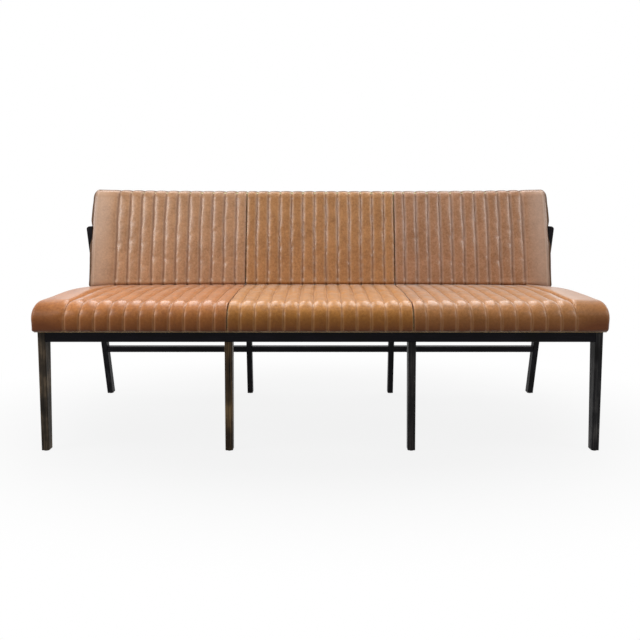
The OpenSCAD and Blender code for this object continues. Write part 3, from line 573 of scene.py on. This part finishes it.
def seat_outline(x, draw, tuck, hollow):
    """The seat's outline in Y and Z, drawn in at its padded faces and tucked in at its foot and rear,
    the share of a groove's depth that each of its points takes, and their distance to a cross seam."""
    rear_r = 8 * MM
    foot_r = 11.5 * MM
    dome_h = 5 * MM
    deck_fall = 11 * MM
    nose_depth = 62 * MM
    nose_height = 56 * MM
    least_wall = 2 * MM
    crest_share = 0.1
    deck_share = 0.9
    slope = end_slope(x)
    top = seat_top - draw - crest_share * slope
    nose = seat_front + draw
    low = seat_low + tuck
    rear = seat_rear - tuck
    fall = deck_fall + end_fall(x)
    rear_top = top - fall - deck_share * slope
    nose_l = nose_depth - 0.3 * draw
    nose_h = min(nose_height - 0.5 * draw, top - low - foot_r - least_wall)
    crest = nose + nose_l
    share = np.linspace(1, 0, 40)[:-1]
    domed = dome_h * np.sin(np.pi * share) ** 2
    domed -= deck_share * slope * np.sin(np.pi / 2 * np.clip(share / 0.35, 0, 1)) ** 2
    deck = np.column_stack([crest + (rear - rear_r - crest) * share, top - fall * share**2 + domed])
    lip = pocket_front if hollow else nose + foot_r + MM
    stretches = [
        line(rear, low, rear, rear_top - rear_r, 4),
        arc(rear - rear_r, rear_top - rear_r, rear_r, rear_r, 0, 90, 4)[:-1],
        deck,
        arc(crest, top - nose_h, nose_l, nose_h, 90, 180, 18)[:-1],
        line(nose, top - nose_h, nose, low + foot_r, 2),
        arc(nose + foot_r, low + foot_r, foot_r, foot_r, 180, 262, 6),
        seat_pocket(lip, low, rear, hollow),
    ]
    shares = (0.2, 0.2, 0, 0, 0.3, 0.25, 0)
    hold = [np.full(len(points), held) for points, held in zip(stretches, shares)]
    # Grooves run out under the foot of the back, and grow shallow down the front.
    under_back = foot_y - 12 * MM
    run_out = 60 * MM
    hold[2] = 0.15 + 0.85 * np.clip((under_back - deck[:, 0]) / run_out, 0, 1)
    hold[3] = 1.0 - 0.7 * np.linspace(0, 1, len(hold[3])) ** 0.7
    ring = np.vstack(stretches)
    return ring, np.concatenate(hold), np.full(len(ring), unsewn)


# Where points lie across a channel, across a plain panel, and from the edge of a boxed end to its spine.
channel_places = (0, 0.05, 0.13, 0.27, 0.5, 0.73, 0.87, 0.95)
panel_places = (0, 0.03, 0.08, 0.18, 0.35, 0.55, 0.78)
boxing_places = (0.08, 0.2, 0.4, 0.65, 0.88, 1.0)


def channels(x, widths, groove, shoulder, crown):
    """Columns across a row of channels: x, how far the leather is drawn in there, the distance to the
    nearest stitching, and whether it is sewn down."""
    columns = []
    for width in widths:
        for t in channel_places:
            near = width * min(t, 1 - t)
            rise = math.sin(math.pi / 2 * min(1, near / shoulder))
            columns.append((x + width * t, groove * (1 - rise) + crown * (2 * t - 1) ** 2, near, t == 0))
        x += width
    return columns


def middle_columns(groove, seam, shoulder, crown):
    """The middle section, between its two seams."""
    columns = channels(-seam_x, middle_widths, groove, shoulder, crown)
    columns[0] = (-seam_x + seam_gap, seam, 0, True)
    return columns + [(seam_x - seam_gap, seam, 0, True)]


def side_columns(flat_end, groove, seam, shoulder, crown):
    """An outer section, from its seam over its channels and its plain panel to where its end turns."""
    columns = channels(seam_x, side_widths, groove, shoulder, crown)
    columns[0] = (seam_x + seam_gap, seam, 0, True)
    for t in panel_places:
        near = (flat_end - last_groove_x) * t
        rise = math.sin(math.pi / 2 * min(1, near / shoulder))
        columns.append((last_groove_x + near, (groove + crown) * (1 - rise), near, t == 0))
    return columns


# Sewn lines stray and the wadding bunches up in waves that start elsewhere in each line.
slow_stray = 0.8 * MM
quick_stray = 0.4 * MM
bunching = 0.5 * MM


def wander(x, run):
    """How far a sewn line strays sideways along its run, as lines guided by hand do."""
    slow_start = 9 * math.sin(x / (90 * MM))
    quick_start = 13 * math.sin(x / (70 * MM) + 1)
    slow = np.sin(run / (52 * MM) + slow_start)
    quick = np.sin(run / (19 * MM) + quick_start)
    return slow_stray * slow + quick_stray * quick


def swelling(x, run):
    """How unevenly the wadding fills a channel along its run."""
    start = 7 * math.sin(x / (60 * MM))
    return bunching * np.sin(run / (43 * MM) + start)


def quilted_rings(outline, columns, side):
    """The rings of a cover over its columns: the points' x, their Y and Z, their distance to the
    stitching, and whether they stay where they are when the wadding swells."""
    flat_from = 23 * MM
    flat_over = 30 * MM
    straight_by_seam = 40 * MM
    rings = []
    for x, draw, near, sewn in columns:
        plain, hold, seam = outline(x, 0, 0, True)
        run = np.concatenate([[0], np.cumsum(np.linalg.norm(np.diff(plain, axis=0), axis=1))])
        fade = min(1, max(0, 1 - (near - flat_from) / flat_over))
        from_seam = x - seam_x if side else seam_x - abs(x)
        settled = max(0, min(1, from_seam / straight_by_seam))
        place = x * (side or 1)
        uneven = 0 if sewn else fade * swelling(place, run)[:, None]
        cut = outline(x, draw, 0, True)[0]
        inward = (outline(x, draw + MM, 0, True)[0] - cut) / MM
        ring = plain + hold[:, None] * (cut - plain - uneven * inward)
        strayed = x + hold * fade * settled * wander(place, run)
        away = np.where(hold > 0, np.minimum(near, seam), unsewn)
        rings.append((strayed, ring, away, sewn | (hold == 0)))
    return rings


def end_rings(outline, half, end_r, hollow_to, spine, puff, edge_seam):
    """The rings round the end of an outer cover, of radius end_r, and on over its boxed end to the spine
    along the middle. Its pocket ends at hollow_to, and puff says how far the boxing stands out."""
    too_near = 1.5 * MM
    past_seam = 2 * MM
    bulge = MM
    rings = []
    turns = np.radians(np.linspace(0, 90, 9))
    ends = [(half - end_r + end_r * math.sin(a), end_r * (1 - math.cos(a))) for a in turns]
    wall = end_r * (1 - math.cos(math.asin(max(0, hollow_to - half + end_r) / end_r)))
    ends = [e for e in ends if abs(e[0] - hollow_to) > too_near]
    for x, draw in sorted(ends + [(hollow_to, wall), (hollow_to + clear, wall)]):
        edge, hold, seam = outline(x, draw, 0.2 * draw, x <= hollow_to)
        puffed = x + puff(edge) * draw / end_r * ((hold > 0) | (x > hollow_to))
        from_seam = abs(x - edge_seam) if x < edge_seam + past_seam else boxing_mark
        away = np.where(hold > 0, np.minimum(from_seam, seam), unsewn)
        rings.append((puffed, edge, away, hold == 0))
    middle = spine(edge)
    boxed = np.full(len(edge), boxing_mark)
    free = np.full(len(edge), False)
    for f in boxing_places:
        ring = edge + (middle - edge) * f
        rings.append((half + bulge * math.sin(f * math.pi / 2) + puff(ring), ring, boxed, free))
    return rings


def cushion(name, outline, columns, side=0, **end):
    """One sewn length of quilted leather as a closed form. An outer one has a side, -1 or 1, and an end."""
    rings = quilted_rings(outline, columns, side)
    if side:
        rings += end_rings(outline, **end)
    xs, outlines, nears, pins = zip(*rings)
    points = np.vstack([np.column_stack([x, ring]) for x, ring in zip(xs, outlines)])
    faces = tube_faces(len(rings), len(outlines[0]))
    if side:
        # The last ring lies folded along the spine, so that end needs no face.
        faces.pop()
        points[:, 0] *= side
    mesh = bpy.data.meshes.new(name)
    mesh.from_pydata(points.tolist(), [], faces)
    away = mesh.attributes.new("groove_near", "FLOAT", "POINT")
    away.data.foreach_set("value", np.concatenate(nears).astype(np.float32))
    piece = put(name, mesh)
    pinned = piece.vertex_groups.new(name="sewn")
    pinned.add(np.flatnonzero(np.concatenate(pins)).tolist(), 1.0, "REPLACE")
    tidy_faces(mesh)
    return piece


seat_end_r = 20 * MM
end_widest_z = seat_top - 25 * MM
foot_inset = 12 * MM
spine_front = seat_front + 60 * MM
spine_rear = seat_rear - 40 * MM
# The depth of a groove and of a seam, how wide a groove's shoulder is, and how much a channel is crowned.
seat_groove = (5 * MM, 6 * MM, 14 * MM, 2.5 * MM)


def seat_spine(edge):
    """The line along the seat's boxed end at which it is widest."""
    y = np.clip(edge[:, 0], spine_front, spine_rear)
    return np.column_stack([y, np.full(len(y), end_widest_z)])


def foot_pull(ring):
    """The boxed end of the seat is drawn in towards its foot."""
    return -foot_inset * np.clip((end_widest_z - ring[:, 1]) / (end_widest_z - seat_low), 0, 1)


seat_side = side_columns(seat_half - seat_end_r, *seat_groove)
cushions = {
    "seat_cushion_middle": cushion("seat_cushion_middle", seat_outline, middle_columns(*seat_groove))}
for side, where in ((-1, "left"), (1, "right")):
    cushions["seat_cushion_" + where] = cushion(
        "seat_cushion_" + where, seat_outline, seat_side, side, half=seat_half, end_r=seat_end_r,
        hollow_to=pocket_half, spine=seat_spine, puff=foot_pull, edge_seam=seat_half)

# THE BACK CUSHIONS
# The leaning back is quilted like the seat. Its leather starts at the foot, runs up the face and rolls
# over the top to the rear edge, where the rear panel covers its hem.
back_t = 61 * MM
back_crown = 5 * MM
back_end_r = 9 * MM
back_pocket_half = back_half - 12 * MM
back_edge_seam = back_half - 5 * MM
side_swell = 10 * MM
post_front_y = 277 * MM
post_rake = math.radians(7.6)
post_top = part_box("rear_post_right")[1].z
back_groove = (5 * MM, 6 * MM, 15 * MM, 0.8 * MM)


def back_outline(x, draw, tuck, hollow):
    """The back's outline in Y and Z, the share of a groove's depth that each of its points takes, and
    their distance to the seam along the top."""
    top_dip = 6.8 * MM
    roll_d = 28 * MM
    roll_h = 38 * MM
    rear_r = 7 * MM
    foot_r = 12 * MM
    foot_under = 0.8 * MM
    heel_under = 4 * MM
    heel_l = 20 * MM
    over_pocket = 9 * MM
    boxed_to_deg = 25
    seam_at_deg = 30
    # The foot follows the seat down where its end panels slope, and a little further to leave no gap.
    follow = 1.8
    top = back_len - draw - top_dip * (1 - (min(abs(x), back_half) / back_half) ** 3.5)
    rear = back_t - tuck
    rise = math.tan(lean)
    drop = end_fall(x) + follow * end_slope(x)
    low = tuck + 0.2 * draw - foot_under - drop
    heel = tuck - heel_under - drop
    inner = pocket_depth if hollow else rear - MM
    foot_top = low + 2 * MM + draw * rise + foot_r
    share = np.linspace(1, 0, 34)[:-1]
    face = np.column_stack([
        draw - back_crown * np.sin(np.pi * share), foot_top + (top - roll_h - foot_top) * share])
    pocket_end = min(pocket_top, top - over_pocket)
    foot = draw + foot_r + 4 * MM
    stretches = [
        [[rear, heel + rear * rise], [rear, pocket_low - 4 * MM], [rear, pocket_low]],
        [[inner, pocket_low + 0.1 * MM]],
        line(inner, pocket_low + 12 * MM, inner, pocket_end - 2 * MM, 3),
        [[inner, pocket_end - 0.1 * MM], [rear, pocket_end]],
        arc(rear - rear_r, top - rear_r, rear_r, rear_r, 0, 90, 4)[:-1],
        line(rear - rear_r, top, draw + roll_d, top, 3),
        arc(draw + roll_d, top - roll_h, roll_d, roll_h, 90, 180, 13)[:-1],
        face,
        arc(draw + foot_r, foot_top, foot_r, foot_r, 180, 270, 6),
        line(foot, low + foot * rise, rear - heel_l, heel + (rear - heel_l) * rise, 2),
        [[rear - heel_l, heel + (rear - heel_l) * rise]],
    ]
    shares = (0, 0, 0, 0, 0.2, 0.3, 1, 1, 0.6, 0, 0)
    hold = [np.full(len(points), float(held)) for points, held in zip(stretches, shares)]
    hold[6] = np.linspace(0.3, 1, len(hold[6]))
    # The boxing comes over from the rear, and the seam lies along the roll.
    seam = [np.full(len(points), unsewn) for points in stretches]
    from_top = np.linspace(0, 82.5, len(hold[6]))
    seam[4] = np.full(len(hold[4]), boxing_mark)
    seam[5] = np.full(len(hold[5]), boxing_mark)
    from_seam = roll_h * np.radians(np.abs(from_top - seam_at_deg))
    seam[6] = np.where(from_top < boxed_to_deg, boxing_mark, from_seam)
    ring = np.vstack(stretches)
    return leant(ring[:, 0], ring[:, 1]), np.concatenate(hold), np.concatenate(seam)


def back_spine(edge):
    """The line up the middle of the back's boxed side."""
    spine_in = 30 * MM
    height = (edge[:, 0] - foot_y) * math.sin(lean) + (edge[:, 1] - foot_z) * math.cos(lean)
    height = np.clip(height, spine_in, back_len - spine_in)
    return leant(np.full(len(height), back_t / 2), height)


def side_puff(ring):
    """How far the boxed side of the back swells outward, where the post leaves it room."""
    post_gap = 2 * MM
    over_post = 6 * MM
    least_room = 4 * MM
    ample_room = 14 * MM
    most_room = 40 * MM
    y = ring[:, 0]
    z = ring[:, 1]
    depth = (y - foot_y) * math.cos(lean) - (z - foot_z) * math.sin(lean)
    face_y = foot_y + (z - foot_z) * math.tan(lean)
    room = (post_front_y - z * math.tan(post_rake) - face_y) * math.cos(lean) - post_gap
    room = np.where(z > post_top + over_post, most_room, np.clip(room, least_room, most_room))
    swell = side_swell * np.minimum(1, room / ample_room)
    return swell * np.cos(np.pi / 2 * np.clip(depth / room, 0, 1)) ** 0.6


back_side = side_columns(back_half - back_end_r, *back_groove)
cushions["back_cushion_middle"] = cushion(
    "back_cushion_middle", back_outline, middle_columns(*back_groove))
for side, where in ((-1, "left"), (1, "right")):
    cushions["back_cushion_" + where] = cushion(
        "back_cushion_" + where, back_outline, back_side, side, half=back_half, end_r=back_end_r,
        hollow_to=back_pocket_half, spine=back_spine, puff=side_puff, edge_seam=back_edge_seam)

# DRAWING THE LEATHER TIGHT
# Wadding presses the leather outward between the stitched lines, which hold it down. The swelling is a
# short cloth simulation with every groove pinned. It may move the leather only a few millimetres, and
# less on the plain end panels, which have no channels to fill.
swell_steps = 20
swell_limit = 6 * MM
panel_blend = 30 * MM
panel_hold = 0.7
started = {name: np.array([v.co for v in piece.data.vertices]) for name, piece in cushions.items()}
for piece in cushions.values():
    cloth = piece.modifiers.new("swell", "CLOTH")
    cloth.settings.quality = 4
    cloth.settings.mass = 0.4
    cloth.settings.tension_stiffness = 20
    cloth.settings.compression_stiffness = 20
    cloth.settings.shear_stiffness = 8
    cloth.settings.bending_stiffness = 1.5
    cloth.settings.vertex_group_mass = "sewn"
    cloth.settings.shrink_min = -0.006
    cloth.settings.use_pressure = True
    cloth.settings.uniform_pressure_force = 5
    cloth.settings.effector_weights.gravity = 0
    cloth.collision_settings.use_collision = False
for step in range(1, swell_steps + 1):
    bpy.context.scene.frame_set(step)
grown = bpy.context.evaluated_depsgraph_get()
for name, piece in cushions.items():
    swollen = piece.evaluated_get(grown).data
    moved = np.array([v.co for v in swollen.vertices]) - started[name]
    length = np.linalg.norm(moved, axis=1, keepdims=True)
    moved *= np.minimum(1, swell_limit / np.maximum(length, 1e-9))
    at_panel = np.clip((np.abs(started[name][:, :1]) - last_groove_x) / panel_blend, 0, 1)
    moved *= 1 - panel_hold * at_panel
    piece.modifiers.clear()
    piece.data.vertices.foreach_set("co", (started[name] + moved).ravel())
bpy.context.scene.frame_set(1)

# The stitched line itself is pressed into the leather after that, on the finer mesh.
line_half_w = 3 * MM
line_d = 0.8 * MM
for name, piece in cushions.items():
    smooth = piece.modifiers.new("smooth", "SUBSURF")
    smooth.levels = 1
    smooth.render_levels = 1
    fine = bpy.data.meshes.new_from_object(piece.evaluated_get(bpy.context.evaluated_depsgraph_get()))
    piece.modifiers.clear()
    piece.data = fine
    count = len(fine.vertices)
    near = np.empty(count, np.float32)
    fine.attributes["groove_near"].data.foreach_get("value", near)
    place = np.empty(count * 3)
    fine.vertices.foreach_get("co", place)
    outward = np.empty(count * 3, np.float32)
    fine.vertex_normals.foreach_get("vector", outward)
    press = line_d * np.clip(1 - np.abs(near) / line_half_w, 0, 1)
    place = place.reshape(-1, 3) - press[:, None] * outward.reshape(-1, 3)
    fine.vertices.foreach_set("co", place.ravel())
    fine.update()
    fine.shade_smooth()
    part, kind, where = name.split("_")
    fine.materials.append(hides[part, where])
    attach(piece, "root")
    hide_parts(name.replace("cushion", "cover"))

# THE REAR PANEL
# A leather panel on card closes the rear of the back. Its edge is turned over and blind tacked, and the
# straps are screwed on over it, so it swells a little between them.
panel_in = 6 * MM
panel_t = 3 * MM
edge_roll = 3 * MM
edge_share = 0.15
panel_swell = 2.5 * MM
panel_gap = 0.1 * MM
panel_top_in = 12 * MM
strap_half_w = 20 * MM
strap_reach = 200 * MM
edge_reach = 120 * MM
panel_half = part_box("back_rear_panel")[1].x
panel_front = back_t + panel_gap
panel_low = back_t * math.tan(lean) + panel_in
panel_high = back_len - panel_top_in
strap_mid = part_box("back_straps")[1].x - strap_half_w
inner_xs = np.linspace(-panel_half + edge_roll, panel_half - edge_roll, 121)
panel_xs = np.concatenate([[-panel_half, -panel_half + crisp], inner_xs, [panel_half - crisp, panel_half]])
panel_rings = []
for x in panel_xs:
    edge_x = min(1, (panel_half - abs(x)) / edge_roll)
    away = min(abs(abs(x) - strap_mid) / strap_reach, (panel_half - abs(x)) / edge_reach, 1)
    roll = panel_t * math.sin(math.pi / 2 * max(edge_x, edge_share))
    share = np.linspace(0, 1, 25)
    height = panel_low + (panel_high - panel_low) * share
    at_edge = np.minimum(1, np.minimum(share, 1 - share) * (panel_high - panel_low) / edge_roll)
    swell = panel_swell * math.sin(math.pi / 2 * max(0, away)) ** 2 * np.sin(np.pi * share)
    thick = roll * np.sin(np.pi / 2 * np.maximum(at_edge, edge_share)) + swell
    depth = np.concatenate([np.full(2, panel_front), (panel_front + thick)[::-1]])
    up = np.concatenate([[panel_low, panel_high], height[::-1]])
    panel_rings.append(leant(depth, up))
rear_panel = put("rear_panel", lofted("rear_panel", panel_xs, panel_rings))
rear_panel.data.shade_smooth()
rear_panel.data.materials.append(hides["back", "middle"])
away = rear_panel.data.attributes.new("groove_near", "FLOAT", "POINT")
away.data.foreach_set("value", [unsewn] * len(rear_panel.data.vertices))
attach(rear_panel, "root")
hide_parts("back_rear_panel")

# THE FLOOR AND THE LIGHT
# A plain pale floor shows white. Wide soft lights hang above and behind the two ends of the bench, so
# that the seat shines and its front lies in shade. One stands at each side, the left one stronger, and
# three weak ones light it from above and in front.
floor_half = 30
near_r = 0.35
far_r = 0.95


def seen_white(tree):
    """1 for rays that show the background: those of the camera, and those that a shiny surface throws."""
    ray = add(tree, "ShaderNodeLightPath", {})
    first = add(tree, "ShaderNodeMath", {
        0: ray.outputs["Is Camera Ray"], 1: ray.outputs["Is Glossy Ray"]}, operation="MAXIMUM")
    both = add(tree, "ShaderNodeMath", {
        0: first.outputs[0], 1: ray.outputs["Is Transmission Ray"]}, operation="MAXIMUM")
    return both.outputs[0]


mesh = bpy.data.meshes.new("floor")
corners = [(x * floor_half, y * floor_half, 0) for x, y in ((-1, -1), (1, -1), (1, 1), (-1, 1))]
mesh.from_pydata(corners, [], [(0, 1, 2, 3)])
floor = put("floor", mesh)
# White paper is matt. The camera sees it glow, a little less near the bench, so that its shade shows.
paper, tree, shader = finish_of("white_paper", Roughness=0.9, Specular_IOR_Level=0.1)
shader.inputs["Base Color"].default_value = linear("#9c9c9c")
glow = add(tree, "ShaderNodeEmission", {"Color": (1, 1, 1, 1), "Strength": 1})
place = add(tree, "ShaderNodeTexCoord", {})
near_bench = add(tree, "ShaderNodeMapping", {"Vector": place.outputs["Object"], "Scale": (0.55, 1, 1)})
away = add(tree, "ShaderNodeVectorMath", {0: near_bench.outputs[0]}, operation="LENGTH")
whiter = add(tree, "ShaderNodeMapRange", {
    "Value": away.outputs["Value"], "From Min": near_r, "From Max": far_r, "To Min": 0.87, "To Max": 1},
    interpolation_type="SMOOTHSTEP")
seen = add(tree, "ShaderNodeMath", {0: seen_white(tree), 1: whiter.outputs[0]}, operation="MULTIPLY")
blend = add(tree, "ShaderNodeMixShader", {0: seen.outputs[0], 1: shader.outputs[0], 2: glow.outputs[0]})
tree.links.new(blend.outputs[0], tree.nodes["Material Output"].inputs["Surface"])
mesh.materials.append(paper)

world = bpy.data.worlds.new("studio")
bpy.context.scene.world = world
world.use_nodes = True
tree = world.node_tree
backdrop = tree.nodes["Background"]
backdrop.inputs["Color"].default_value = (1, 1, 1, 1)
backdrop.inputs["Strength"].default_value = 0.16
white = add(tree, "ShaderNodeBackground", {"Color": (1, 1, 1, 1), "Strength": 1})
choose = add(tree, "ShaderNodeMixShader", {0: seen_white(tree), 1: backdrop.outputs[0], 2: white.outputs[0]})
tree.links.new(choose.outputs[0], tree.nodes["World Output"].inputs["Surface"])


def soft_light(name, place, aim, size, power):
    """A rectangular soft light that faces the point aim."""
    lamp = bpy.data.lights.new(name, "AREA")
    lamp.shape = "RECTANGLE"
    lamp.size, lamp.size_y = size
    lamp.energy = power
    light = bpy.data.objects.new(name, lamp)
    light.location = place
    toward = Vector(aim) - Vector(place)
    light.rotation_euler = toward.to_track_quat("-Z", "Y").to_euler()
    light.visible_camera = False
    bpy.context.scene.collection.objects.link(light)


for side, where in ((-1, "left"), (1, "right")):
    soft_light("rear_light_" + where, (side * 0.78, 0.7, 2.05), (side * 0.6, -0.1, 0.45), (1.1, 1.6), 27)
soft_light("ceiling_light", (0, -0.8, 2.5), (0, 0, 0.4), (2.4, 0.5), 6.5)
soft_light("side_light_left", (-2.6, -0.9, 1.5), (-0.5, 0.1, 0.65), (1.0, 1.0), 31)
soft_light("side_light_right", (2.6, -0.9, 1.5), (0.5, 0.1, 0.65), (1.0, 1.0), 20)
soft_light("window_left", (-2.0, -1.6, 1.7), (-0.5, 0.1, 0.6), (1.0, 1.0), 9)
soft_light("window_right", (2.0, -1.6, 1.7), (0.5, 0.1, 0.6), (1.0, 1.0), 5)
